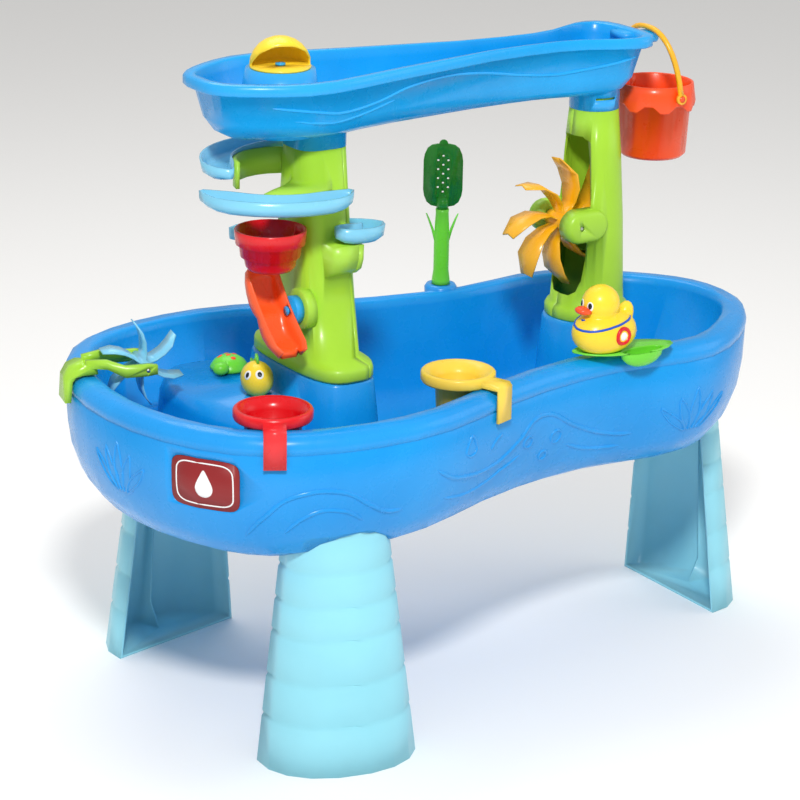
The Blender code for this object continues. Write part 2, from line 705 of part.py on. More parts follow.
def build_chute():
    """A tipping scoop of two lobes, hung by its middle and tipped towards the player."""
    half = CHUTE_LENGTH / 2
    stations = 10
    shares = [1 - 2 * i / stations for i in range(stations + 1)]
    points = [Vector((half * share, 0)) for share in shares]
    rims = [0.010 + 0.006 * share * share for share in shares]
    depths = [0.022 + 0.009 * math.sin(math.pi * min(abs(share) * 1.25, 1.0)) for share in shares]
    place = Matrix.Translation(CHUTE_MIDDLE) @ Matrix.Rotation(CHUTE_TILT, 4, "X") \
        @ Matrix.Rotation(math.radians(90), 4, "Z")
    shell = trough(points, rims, 0.0235, depths, CHANNEL_WALL, steps=7, ends=1, blunt=1.6,
                   roundness=5.0)
    chute = finish("chute", placed(shell, place), ORANGE, origin=CHUTE_PIVOT)
    mouth = block((-half - 0.02, -0.0165, -0.0040), (-half + 0.010, 0.0165, 0.04))
    cut(chute, placed(mouth, place))
    cut(chute, cylinder(0.0050 + GAP, -0.02, 0.02, CHUTE_PIVOT, "X", 16))


def build_chute_pivot():
    """A flanged stud: the chute turns on its left end, and its right end is fixed in the tower."""
    profile = ((0, -0.0176), (0.0063, -0.0176), (0.0063, -0.0158), (0.0050, -0.0158),
               (0.0050, -0.0114), (0.0180, -0.0114), (0.0190, -0.0100), (0.0190, -GAP),
               (0.0050, -GAP), (0.0050, 0.0210), (0.0085, 0.0210), (0.0085, 0.0230), (0, 0.0230))
    finish("chute_pivot", turned(profile, 20, CHUTE_PIVOT, "X"), TRAY_BLUE, origin=CHUTE_PIVOT)


# Wheel tower

WHEEL_TOWER_OUTSIDE = (
    (0.0580, DECK_TOP + GAP), (0.0600, 0.4680), (0.0600, 0.4780), (0.0570, 0.4830),
    (0.0525, 0.4860), (0.0512, 0.5050), (0.0470, 0.6060), (0.0405, 0.7000),
    (0.0345, COLLAR_BOTTOM - GAP), (0.0312, COLLAR_BOTTOM - GAP), (0.0312, TRAY_BOTTOM - 0.001),
)
WHEEL_TOWER_INSIDE = (
    (0.0285, TRAY_BOTTOM - 0.001), (0.0285, 0.7600), (0.0375, 0.7000), (0.0445, 0.6060),
    (0.0500, DECK_TOP + GAP),
)


def wheel_slot():
    """The opening on the wheel's side, with round corners above and below."""
    rings = []
    for x in (0.20, 0.256):
        rings.append([Vector((x, y, z)) for y, z in (
            [(0.0365 * a, 0.6150 + 0.1150 * b) for a, b in
             (round_corner(math.pi * 2 * (i + 0.5) / 16, 5.0) for i in range(16))])])
    return loft(rings)


def axle_ear(side):
    """The rounded boss that carries one end of the wheel's axle."""
    rings = []
    for reach, size in ((0.0275, 1.0), (0.0440, 1.0), (0.0490, 0.90), (0.0515, 0.70)):
        ring = []
        for i in range(20):
            angle = 2 * math.pi * (i + 0.5) / 20
            long_side = 0.024 if math.cos(angle) > 0 else 0.0
            x = WHEEL_AXIS.x + 0.0235 * size * math.cos(angle) + long_side
            z = WHEEL_AXIS.z + 0.0235 * size * math.sin(angle)
            ring.append(Vector((x, side * reach, z)))
        rings.append(ring)
    return loft(rings)


def build_wheel_tower():
    for name, side in (("wheel_tower_front", -1), ("wheel_tower_back", 1)):
        profile = WHEEL_TOWER_OUTSIDE + WHEEL_TOWER_INSIDE
        half = finish(name, turned(profile, 28, (*WHEEL_TOWER, 0)), LIME)
        low, high = sorted((-side * 0.2, side * GAP / 2))
        cut(half, block((0.1, low, 0.4), (0.45, high, 0.9)))
        cut(half, wheel_slot())
        add(half, axle_ear(side))
        cut(half, cylinder(WHEEL_AXLE_RADIUS + GAP, -0.07, 0.07, WHEEL_AXIS, "Y", 20))


def petal(turn):
    """One curved petal of the water wheel, as a closed thin sheet round the axle."""
    stations, across_steps = 4, 1
    top, bottom = [], []
    for i in range(stations + 1):
        part = i / stations
        radius = 0.0105 + (WHEEL_RADIUS - 0.0115) * part
        angle = turn + PETAL_CURL * part ** 1.7
        width = 0.0085 + 0.0150 * math.sin(math.pi * min(part * 0.62, 0.5))
        if part > 0.80:
            width *= 0.55
        normal = Vector((-math.sin(angle), 0, math.cos(angle)))
        middle = WHEEL_AXIS + Vector((math.cos(angle), 0, math.sin(angle))) * radius
        for row, offset in ((top, 0.0012), (bottom, -0.0012)):
            line = []
            for k in range(-across_steps, across_steps + 1):
                share = k / across_steps
                cup = 0.004 * share * share * part
                line.append(middle + Vector((0, width * share, 0)) + normal * (offset + cup))
            row.append(line)
    rings = [low + high[::-1] for low, high in zip(top, bottom)]
    return loft(rings)


def build_water_wheel():
    hub = ((WHEEL_AXLE_RADIUS + GAP, -0.0225), (0.0125, -0.0225), (0.0140, -0.0100),
           (0.0140, 0.0100), (0.0125, 0.0225), (WHEEL_AXLE_RADIUS + GAP, 0.0225))
    wheel = finish("water_wheel", turned(hub, 20, WHEEL_AXIS, "Y"), AMBER, origin=WHEEL_AXIS)
    for i in range(WHEEL_PETALS):
        add(wheel, petal(math.radians(60) + 2 * math.pi * i / WHEEL_PETALS))
    axle = cylinder(WHEEL_AXLE_RADIUS, -0.0500, 0.0500, WHEEL_AXIS, "Y", 20)
    finish("wheel_axle", axle, STEEL, origin=WHEEL_AXIS, metallic=1.0)


# Tray

TRAY_OUTSIDE = (
    (0.0740, TRAY_BOTTOM), (0.0520, 0.7890), (0.0360, 0.7975), (0.0240, 0.8140),
    (0.0130, 0.8560), (0.0015, 0.8560), (0.0, 0.8580), (0.0, 0.8680), (0.0030, TRAY_TOP),
    (0.0120, TRAY_TOP),
)
TRAY_INSIDE = (
    (0.0730, TRAY_FLOOR), (0.0540, 0.7925), (0.0395, 0.8010), (0.0275, 0.8170),
    (0.0166, 0.8560), (0.0155, 0.8685), (0.0130, TRAY_TOP), (0.0130, TRAY_TOP + 0.02),
)


def build_tray():
    tray = finish("upper_tray", loft([tray_ring(inset, z) for inset, z in TRAY_OUTSIDE]), TRAY_BLUE)
    half_x, half_y = tower_section(COLLAR_BOTTOM)
    add(tray, soft_box(SPIRAL_TOWER, ((half_x + 0.0004, half_y + 0.0004, COLLAR_BOTTOM),
                                      (half_x + 0.0008, half_y + 0.0008, 0.8000)),
                       roundness=3.4, steps=24))
    add(tray, turned(((0, COLLAR_BOTTOM), (0.0350, COLLAR_BOTTOM), (0.0358, 0.8240), (0, 0.8240)),
                     24, (*WHEEL_TOWER, 0)))
    cut(tray, loft([tray_ring(inset, z) for inset, z in TRAY_INSIDE]))
    add(tray, turned(((0, 0.7890), (0.0575, 0.7890), (0.0560, 0.8100), (0.0500, 0.8480),
                      (0.0455, DOME_BASE - GAP), (0, DOME_BASE - GAP)), 24, (*DOME_CENTRE, 0)))
    add(tray, spout())
    cut(tray, soft_box(SPIRAL_TOWER, ((half_x - 0.0027, half_y - 0.0027, COLLAR_BOTTOM - 0.01),
                                      (half_x - 0.0027, half_y - 0.0027, TRAY_BOTTOM - 0.0007)),
                       roundness=3.4, steps=24))
    cut(tray, soft_box(WHEEL_TOWER, ((0.0315, 0.0315, 0.75), (0.0315, 0.0315, TRAY_BOTTOM - 0.0007)),
                       roundness=2.0))
    holes = block((0.2617, -0.0493, 0.7803), (0.2926, -0.0207, 0.7838))
    cylinder(0.0036, DOME_BASE - 0.0121, DOME_BASE + 0.01, (*DOME_CENTRE, 0), "Z", 12, holes)
    cylinder(0.0055, 0.77, 0.80, (-0.300, 0.030, 0), "Z", 12, holes)
    cut(tray, holes)


def spout():
    """The tongue at the tray's end that the bucket's handle hangs on."""
    rings = []
    for x, half, low, high in ((0.318, 0.019, 0.8560, PEG_TOP), (0.338, 0.017, 0.8530, PEG_TOP),
                               (0.3620, 0.0140, 0.8500, 0.8646), (0.3735, 0.0130, 0.8480, 0.8646),
                               (0.3760, 0.0125, 0.8475, 0.8672), (0.3800, 0.0115, 0.8475, 0.8660),
                               (0.3830, 0.0090, 0.8495, 0.8620)):
        ring = []
        for i in range(16):
            across, up = round_corner(2 * math.pi * i / 16, 4.0)
            ring.append(Vector((x, half * across, (low + high) / 2 + (high - low) / 2 * up)))
        rings.append(ring)
    return loft(rings)


def build_dome():
    """A hood on a round floor, open towards the player."""
    steps = 6
    angles = [math.pi / 2 * i / steps for i in range(steps + 1)]
    inner_radius = DOME_RADIUS - 0.0025
    outer = [(DOME_RADIUS * math.cos(a), DOME_BASE + 0.0035 + 0.0380 * math.sin(a)) for a in angles]
    inner = [(inner_radius * math.cos(a), DOME_BASE + 0.0035 + 0.0355 * math.sin(a)) for a in angles]
    profile = [(0.0036 + GAP, DOME_BASE), (DOME_RADIUS - 0.0005, DOME_BASE), *outer[:-1],
               (0, outer[-1][1]), (0, inner[-1][1]), *inner[-2::-1],
               (inner_radius, DOME_BASE + 0.0028), (0.0036 + GAP, DOME_BASE + 0.0028)]
    origin = (*DOME_CENTRE, DOME_BASE)
    dome = finish("dome", turned_ring(profile, 24, (*DOME_CENTRE, 0)), YELLOW, origin=origin)
    outline = ((0.0, 0.0028), (0.10, 0.0028), (0.10, 0.0028 + 0.119), (0.0, 0.0050))
    wedge = prism(outline, -0.06, 0.06, "Y")
    turn = Matrix.Translation(origin) @ Matrix.Rotation(DOME_FACING, 4, "Z")
    cut(dome, placed(wedge, turn))


def turned_ring(profile, steps, centre):
    """Like turned, for an outline that touches the axis in the middle of its list."""
    builder = bmesh.new()
    rows = []
    for radius, height in profile:
        if radius < 1e-7:
            rows.append([builder.verts.new((0, 0, height))])
            continue
        rows.append([builder.verts.new((radius * math.cos(2 * math.pi * i / steps),
                                        radius * math.sin(2 * math.pi * i / steps), height))
                     for i in range(steps)])
    for lower, upper in zip(rows, rows[1:] + rows[:1]):
        if len(lower) == len(upper) == 1:
            continue
        for i in range(steps):
            j = (i + 1) % steps
            corners = [lower[i % len(lower)], lower[j % len(lower)],
                       upper[j % len(upper)], upper[i % len(upper)]]
            builder.faces.new(list(dict.fromkeys(corners)))
    bmesh.ops.translate(builder, vec=Vector(centre), verts=builder.verts)
    return builder


def build_dome_pin():
    profile = ((0, DOME_BASE - 0.0110), (0.0033, DOME_BASE - 0.0110), (0.0033, DOME_BASE + 0.0034),
               (0.0070, DOME_BASE + 0.0036), (0.0066, DOME_BASE + 0.0060), (0, DOME_BASE + 0.0068))
    finish("dome_pin", turned(profile, 18, (*DOME_CENTRE, 0)), TRAY_BLUE)


# Bucket

def wave(angle, height, size):
    return height + size * math.cos(8 * angle)


def build_bucket():
    """A bucket whose collar hangs down in eight scallops."""
    rim, base = BUCKET_RIM, BUCKET_BOTTOM
    profile = ((0.0430, base, 0), (0.0478, base + 0.0050, 0), (0.0518, 0.7610, 0.0058),
               (0.0578, 0.7585, 0.0070), (0.0586, 0.7610, 0.0066), (0.0562, 0.7800, 0.0010),
               (0.0548, rim - 0.0008, 0), (0.0528, rim, 0), (0.0512, rim - 0.0020, 0),
               (0.0493, 0.7580, 0), (0.0447, base + 0.0065, 0), (0.0415, base + 0.0038, 0))
    steps = 32
    rings = []
    for radius, height, size in profile:
        ring = []
        for i in range(steps):
            angle = 2 * math.pi * (i + 0.5) / steps
            ring.append(Vector((BUCKET_CENTRE.x + radius * math.cos(angle),
                                BUCKET_CENTRE.y + radius * math.sin(angle),
                                wave(angle, height, size))))
        rings.append(ring)
    bucket = finish("bucket", loft(rings), ORANGE, origin=BUCKET_PIVOT)
    for side in (-1, 1):
        low, high = sorted((side * 0.0500, side * 0.0650))
        add(bucket, cylinder(0.0042, low, high, BUCKET_PIVOT, "Y", 14))


def build_handle():
    """The bail: up from one stud, over the tray's spout and down to the other."""
    reach = 0.0617
    start = BUCKET_PIVOT + (HANDLE_APEX - BUCKET_PIVOT) * 0.06
    curve = bpy.data.curves.new("bucket_handle", "CURVE")
    curve.dimensions = "3D"
    curve.bevel_depth = HANDLE_THICKNESS / 2
    curve.bevel_resolution = 1
    curve.use_fill_caps = True
    steps = 20
    spline = curve.splines.new("POLY")
    spline.points.add(steps)
    for i, target in enumerate(spline.points):
        side, rise = round_corner(math.pi * i / steps, 2.4)
        point = start + (HANDLE_APEX - start) * rise
        target.co = (point.x, side * reach, point.z, 1.0)
    source = bpy.data.objects.new("handle_path", curve)
    mesh = bpy.data.meshes.new_from_object(source)
    bpy.data.objects.remove(source)
    builder = bmesh.new()
    builder.from_mesh(mesh)
    handle = finish("bucket_handle", builder, YELLOW, origin=HANDLE_APEX)
    for side in (-1, 1):
        low, high = sorted((side * 0.0590, side * 0.0640))
        add(handle, cylinder(0.0078, low, high, BUCKET_PIVOT, "Y", 14))
    for side in (-1, 1):
        low, high = sorted((side * 0.0555, side * 0.0700))
        cut(handle, cylinder(0.0042 + GAP, low, high, BUCKET_PIVOT, "Y", 14))
    return handle


# Spinner on its rim clip

def clip_frame():
    return Matrix.Translation(SPINNER_CENTRE) @ Matrix.Rotation(CLIP_TURN, 4, "Z")


def placed(builder, matrix):
    bmesh.ops.transform(builder, matrix=matrix, verts=builder.verts)
    return builder


def build_spinner():
    """Two arms reach in over the rim from a hook, with the wheel between them."""
    frame = clip_frame()
    hook = ((-0.1080, 0.4360), (-0.1060, 0.4680), (-0.0985, 0.4810), (-0.0860, 0.4860),
            (-0.0645, 0.4840), (-0.0630, 0.4722), (-0.0840, 0.4720), (-0.0930, 0.4700),
            (-0.0975, 0.4640), (-0.1000, 0.4360))
    rings = [[Vector((x, y, z - SPINNER_CENTRE.z)) for x, z in hook] for y in (-0.019, 0.019)]
    clip = finish("spinner_clip", placed(loft(rings), frame), LIME)
    for side in (-1, 1):
        rings = []
        for x, reach, half in ((-0.0780, 0.0130, 0.0050), (-0.0520, 0.0220, 0.0062),
                               (-0.0300, 0.0345, 0.0078), (0.0000, 0.0345, 0.0080),
                               (0.0130, 0.0345, 0.0062)):
            middle = 0.0080 if x < -0.045 else 0.0
            rings.append([Vector((x, side * reach + a, middle + b)) for a, b in
                          ((-0.0040, -half), (0.0040, -half), (0.0040, half), (-0.0040, half))])
        add(clip, placed(loft(rings), frame))
    bore = cylinder(0.0028, -0.05, 0.05, (0, 0, 0), "Y", 16)
    cut(clip, placed(bore, frame))
    hub = turned(((0.0028, -0.0300), (0.0070, -0.0300), (0.0070, 0.0300), (0.0028, 0.0300)), 18,
                 (0, 0, 0), "Y")
    wheel = finish("spinner_wheel", placed(hub, frame), ICE, origin=SPINNER_CENTRE)
    for i in range(6):
        add(wheel, placed(spinner_blade(math.radians(20 + 60 * i)), frame))
    axle = cylinder(0.0025, -0.0395, 0.0395, (0, 0, 0), "Y", 16)
    finish("spinner_axle", placed(axle, frame), STEEL, origin=SPINNER_CENTRE, metallic=1.0)


def spinner_blade(turn):
    rings = []
    stations = 4
    for i in range(stations + 1):
        part = i / stations
        radius = 0.005 + (SPINNER_RADIUS - 0.005) * part
        angle = turn + 0.35 * part ** 1.7
        half = 0.0185 * (1 - 0.35 * max(part - 0.75, 0) / 0.25)
        normal = Vector((-math.sin(angle), 0, math.cos(angle))) * 0.0010
        middle = Vector((math.cos(angle), 0, math.sin(angle))) * radius
        ring = []
        for y, lift in ((-half, 1), (0, 1), (half, 1), (half, -1), (0, -1), (-half, -1)):
            ring.append(middle + Vector((0, y, 0)) + normal * lift)
        rings.append(ring)
    return loft(rings)


# Cups, launcher, duck, scoop and floating toys

def build_cup(name, place, colour):
    centre, angle, radius, body_share = place
    body = radius * body_share
    base = 0.4690
    profile = ((0, 0.425), (body * 0.86, 0.425), (body * 0.92, 0.428), (body, base),
               (radius - 0.0015, base), (radius, base + 0.0025), (radius, base + 0.0125),
               (radius - 0.0020, base + 0.0145), (radius - 0.0060, base + 0.0150),
               (body, base + 0.0050), (body - 0.0022, base), (body * 0.86 - 0.001, 0.4285),
               (0, 0.4280))
    cup = finish(name, turned_ring(profile, 24, (*centre, 0)), colour)
    way = Vector((math.cos(angle), math.sin(angle)))
    reach = strap_reach(centre, way)
    strap = ((radius - 0.003, base + 0.0030), (reach + 0.0015, base + 0.0030),
             (reach + 0.0015, 0.4280), (reach + 0.0050, 0.4280), (reach + 0.0050, base + 0.0060),
             (reach + 0.0005, base + 0.0110), (radius - 0.003, base + 0.0110))
    side = Vector((-way.y, way.x))
    rings = []
    for offset in (-0.0145, 0.0145):
        rings.append([Vector((*(centre + way * r + side * offset), z)) for r, z in strap])
    add(cup, loft(rings))


def strap_reach(centre, way):
    """How far the tub's outer edge is from a cup's centre, along its strap."""
    edge = [Vector((p.x, p.y)) for p in tub_ring(0.0, RIM_TOP)]
    best = 0.0
    for first, second in zip(edge, edge[1:] + edge[:1]):
        run = second - first
        cross = way.x * run.y - way.y * run.x
        if abs(cross) < 1e-9:
            continue
        offset = first - centre
        distance = (offset.x * run.y - offset.y * run.x) / cross
        share = (offset.x * way.y - offset.y * way.x) / cross
        if 0 <= share <= 1 and distance > 0:
            best = max(best, distance)
    side = Vector((-way.y, way.x))
    worst = best
    for point in edge:
        offset = point - centre
        if abs(offset.dot(side)) < 0.0150 and offset.dot(way) > 0:
            worst = max(worst, offset.dot(way))
    return worst


def build_launcher():
    """A leaf with a spoon that rocks on a low foot, which stands on the rim."""
    turn = Matrix.Translation((LAUNCHER_CENTRE.x, LAUNCHER_CENTRE.y, 0)) \
        @ Matrix.Rotation(LAUNCHER_TURN, 4, "Z")
    height = 0.4724
    hinge = (LAUNCHER_HINGE.x, LAUNCHER_HINGE.y, height)
    pivot = turn @ Vector(hinge)
    foot = soft_box(LAUNCHER_HINGE, ((0.0170, 0.0120, RIM_TOP + GAP), (0.0180, 0.0130, 0.4702),
                                     (0.0140, 0.0115, 0.4735), (0.0080, 0.0100, 0.4752)),
                    roundness=2.3, steps=20)
    base = finish("launcher_base", placed(foot, turn), SPRING_GREEN)
    low, high = (hinge[0] - 0.0080, hinge[1] - 0.0052, 0.4693), (hinge[0] + 0.0080, hinge[1] + 0.0052, 0.49)
    cut(base, placed(block(low, high), turn))
    cut(base, placed(cylinder(0.0014 + GAP, -0.03, 0.03, hinge, "Y", 12), turn))
    leaf = finish("launcher_leaf", placed(leaf_blade(), turn), SPRING_GREEN, origin=pivot)
    bowl = cutter("bowl", pill(LAUNCHER_BOWL, (0.0350, 0.0145, 0.0215), steps=(14, 8)))
    cut(bowl, block((0.10, -0.30, LEAF_HEIGHT + 0.0012), (0.30, -0.10, 0.55)))
    combine(leaf, bowl, "UNION")
    cut(leaf, pill(LAUNCHER_BOWL, (0.0333, 0.0128, 0.0198), steps=(14, 8)))
    add(leaf, placed(block((hinge[0] - 0.0030, hinge[1] - 0.0048, height),
                           (hinge[0] + 0.0030, hinge[1] + 0.0048, LEAF_HEIGHT + 0.0010)), turn))
    add(leaf, placed(cylinder(0.0029, -0.0048, 0.0048, hinge, "Y", 14), turn))
    cut(leaf, placed(cylinder(0.0014 + GAP, -0.03, 0.03, hinge, "Y", 12), turn))
    pin = cylinder(0.0014, -0.0112, 0.0112, hinge, "Y", 12)
    finish("launcher_pin", placed(pin, turn), STEEL, origin=pivot, metallic=1.0)


def leaf_blade():
    """The pointed, slightly dished sheet that the duck sits on."""
    rings = []
    stations = 12
    for i in range(stations + 1):
        part = -1 + 2 * i / stations
        half = 0.0300 * max(1 - abs(part) ** 2.4, 0.03) ** 0.6
        bottom = LEAF_HEIGHT + 0.0015 * part ** 4
        ring = []
        for share, level in ((-1, 0.0032), (-0.5, 0.0022), (0, 0.0020), (0.5, 0.0022), (1, 0.0032),
                             (1, 0.0012), (0.5, 0.0002), (0, 0.0), (-0.5, 0.0002), (-1, 0.0012)):
            ring.append(Vector((0.0740 * part, half * share, bottom + level)))
        rings.append(ring)
    return loft(rings)


def build_duck():
    """A bath duck that faces the spiral tower, with a flat base."""
    place = DUCK_PLACE
    origin = (place.x, place.y, place.z)
    body = pill(place + Vector((0, 0, 0.0260)), (0.0490, 0.0355, 0.0320), steps=(20, 12))
    duck = finish("duck", body, YELLOW, origin=origin)
    head = place + Vector((-0.0075, 0, 0.0660))
    add(duck, pill(head, (0.0270, 0.0255, 0.0265), steps=(16, 10)))
    add(duck, pill(place + Vector((0.0330, 0, 0.0440)), (0.0125, 0.0120, 0.0200),
                   Matrix.Rotation(math.radians(18), 3, "Y"), (12, 8)))
    cut(duck, block((place.x - 0.08, place.y - 0.08, place.z - 0.05),
                    (place.x + 0.08, place.y + 0.08, place.z)))
    beak = finish("duck_beak", pill(head + Vector((-0.0280, 0, -0.0060)), (0.0130, 0.0125, 0.0060),
                                    Matrix.Rotation(math.radians(8), 3, "Y"), (14, 8)),
                  ORANGE, origin=origin)
    cut(beak, pill(head, (0.0273, 0.0258, 0.0268), steps=(16, 10)))


def build_scoop():
    """A strainer spade that stands by its handle in the rim socket."""
    foot = Vector((*SCOOP_PLACE, 0))
    origin = (SCOOP_PLACE.x, SCOOP_PLACE.y, 0.4465)
    profile = ((0, 0.4465), (0.0100, 0.4465), (0.0100, 0.4745 + GAP), (0.0136, 0.4750),
               (0.0132, 0.4810), (0.0112, 0.4960), (0.0112, 0.5450), (0.0095, 0.5820),
               (0.0098, 0.5868), (0, 0.5868))
    handle = finish("scoop_handle", turned(profile, 18, foot), SPRING_GREEN, origin=origin)
    spin = Matrix.Translation(foot) @ Matrix.Rotation(SCOOP_TURN, 4, "Z")
    for side in (-1, 1):
        rings = []
        for x, z, half, thick in ((0.0085, 0.5380, 0.002, 0.0022), (0.0135, 0.5560, 0.005, 0.0016),
                                  (0.0195, 0.5720, 0.003, 0.0012), (0.0230, 0.5800, 0.001, 0.0008)):
            rings.append([Vector((side * x + a, b, z)) for a, b in
                          ((-thick, -half), (thick, -half), (thick, half), (-thick, half))])
        add(handle, placed(loft(rings), spin))
    rings = []
    for i in range(11):
        x = 0.0285 * math.sin(math.pi / 2 * (i - 5) / 5)
        tall = 0.0465 * max(1 - abs(x / 0.0290) ** 3.6, 0.02) ** (1 / 3.6)
        bend = 0.8 * x * x
        rings.append([Vector((x, bend - 0.0021, 0.6370 - tall)), Vector((x, bend - 0.0021, 0.6370 + tall)),
                      Vector((x, bend + 0.0021, 0.6370 + tall)), Vector((x, bend + 0.0021, 0.6370 - tall))])
    blade = finish("scoop_blade", placed(loft(rings), spin), GREEN, origin=origin)
    add(blade, placed(cylinder(0.0065, -0.0020, 0.0020, (0, 0, 0.6830), "Y", 18), spin))
    add(blade, placed(cylinder(0.0088, 0.5868 + GAP, 0.6050, (0, 0, 0), "Z", 18), spin))
    holes = bmesh.new()
    for row in range(5):
        cylinder(0.0019, -0.03, 0.03, (0, 0, 0.6125 + 0.0133 * row), "Y", 6, holes)
    for row in range(4):
        for side in (-1, 1):
            spot = (side * 0.0073, 0, 0.6192 + 0.0133 * row)
            cylinder(0.0019, -0.03, 0.03, spot, "Y", 6, holes)
    cut(blade, placed(holes, spin))


def build_floating_toys():
    """A fish and a turtle, which lie on the moulded shelf when the tub is dry."""
    shelf = SHELF_TOP + GAP
    place = Vector((-0.254, 0.017, shelf))
    turn = Matrix.Rotation(math.radians(70), 4, "Z")
    body = pill((0, 0, 0.0225), (0.0300, 0.0225, 0.0240), steps=(16, 10))
    fish = finish("fish", placed(body, Matrix.Translation(place) @ turn), YELLOW, origin=place)
    cut(fish, block(place - Vector((0.06, 0.06, 0.05)), place + Vector((0.06, 0.06, 0))))
    outline = ((-0.012, 0.040), (-0.004, 0.0535), (0.006, 0.0560), (0.010, 0.0490),
               (0.022, 0.0420), (0.030, 0.0300), (0.0430, 0.0380), (0.0400, 0.0230),
               (0.0430, 0.0080), (0.0300, 0.0150), (0.018, 0.0200), (0.010, 0.0360))
    crest = prism(outline, -0.0017, 0.0017, "Y")
    crest = finish("fish_crest", placed(crest, Matrix.Translation(place) @ turn), BLUE, origin=place)
    inside = pill((0, 0, 0.0225), (0.0304, 0.0229, 0.0244), steps=(16, 10))
    cut(crest, placed(inside, Matrix.Translation(place) @ turn))
    place = Vector((-0.2317, 0.1300, shelf))
    shell = ((0, 0.0), (0.0230, 0.0), (0.0270, 0.0035), (0.0262, 0.0065), (0.0210, 0.0140),
             (0.0125, 0.0195), (0, 0.0215))
    turtle = finish("turtle", turned(shell, 24, place), GREEN, origin=place)
    add(turtle, pill(place + Vector((-0.024, -0.019, 0.0100)), (0.0120, 0.0110, 0.0090),
                     steps=(14, 8)))


def main():
    clear_scene()
    table = bpy.data.objects.new("table", None)
    bpy.context.scene.collection.objects.link(table)
    table.location = TABLE_SHIFT
    build_tub()
    for number, (name, place) in enumerate(LEG_PLACES.items(), 1):
        build_leg(name, place)
        build_leg_screw(f"leg_screw_{number}", place)
    build_badge()
    build_drain_plug()
    build_spiral_tower()
    for name in CHANNELS:
        build_channel(name)
    build_lower_channel()
    build_funnel()
    build_chute()
    build_chute_pivot()
    build_wheel_tower()
    build_water_wheel()
    build_tray()
    build_dome()
    build_dome_pin()
    build_bucket()
    build_handle()
    build_spinner()
    build_cup("red_cup", RED_CUP, RED)
    build_cup("yellow_cup", YELLOW_CUP, YELLOW)
    build_launcher()
    build_duck()
    build_scoop()
    build_floating_toys()
    bpy.context.view_layer.update()


main()
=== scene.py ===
"""Looks for the sand and water table: plastic materials, moulded relief, painted faces, studio and camera.

Every CAD node is shown as packed.  The pieces added here are thin relief and inlays that lie on it.
Metres, +Z up, +X along the table towards the bucket, +Y towards the back.
"""

import math

import bmesh
import bpy
from mathutils import Matrix, Vector
from mathutils.bvhtree import BVHTree


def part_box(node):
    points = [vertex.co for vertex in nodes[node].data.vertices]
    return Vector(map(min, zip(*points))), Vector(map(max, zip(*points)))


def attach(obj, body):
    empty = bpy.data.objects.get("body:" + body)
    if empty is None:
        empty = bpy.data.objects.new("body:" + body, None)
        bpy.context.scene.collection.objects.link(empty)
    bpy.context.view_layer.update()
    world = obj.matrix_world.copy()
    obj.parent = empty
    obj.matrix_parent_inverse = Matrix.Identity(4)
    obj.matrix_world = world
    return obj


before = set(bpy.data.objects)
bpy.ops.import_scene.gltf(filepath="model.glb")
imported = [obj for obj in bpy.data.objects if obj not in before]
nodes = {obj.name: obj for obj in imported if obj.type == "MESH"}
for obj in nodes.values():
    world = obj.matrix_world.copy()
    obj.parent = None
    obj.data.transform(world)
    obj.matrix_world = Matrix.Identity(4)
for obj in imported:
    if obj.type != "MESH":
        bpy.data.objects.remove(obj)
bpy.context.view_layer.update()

FULL_TURN = 2 * math.pi
UP = Vector((0, 0, 1))
DOWN = Vector((0, 0, -1))
RIGHTWARD = Vector((1, 0, 0))
BACKWARD = Vector((0, 1, 0))
FORWARD = Vector((0, -1, 0))

# Material
SPECULAR = 0.32
COAT_SHARE = 0.35
COAT_ROUGHNESS = 0.12
EDGE_WEAR = 0.10
SOFT_DEPTH = 0.01

# How far outside the object a ray starts before it is aimed at the surface
WALL_START = 0.7
TRAY_START = 0.4
BADGE_START = 0.05

# Camera: where it stands, its lens, and its two picture axes before the roll
CAMERA_PLACE = (-2.1659, -3.2013, 1.6811)
CAMERA_LENS = 131.78
CAMERA_SENSOR = 36
CAMERA_RIGHT = Vector((0.8345, -0.5511, 0))
CAMERA_UP = Vector((0.1764, 0.2671, 0.9475))
CAMERA_ROLL = 0.0188

FLOOR_SIZE = 12
FLOOR_COLOUR = (0.97, 0.965, 0.955, 1)
SKY_COLOUR = (1.0, 0.995, 0.985, 1)
SKY_STRENGTH = 0.54


# ---------------------------------------------------------------- materials

def noise(tree, where, scale, detail):
    node = tree.nodes.new("ShaderNodeTexNoise")
    node.inputs["Scale"].default_value = scale
    node.inputs["Detail"].default_value = detail
    tree.links.new(where.outputs["Object"], node.inputs["Vector"])
    return node


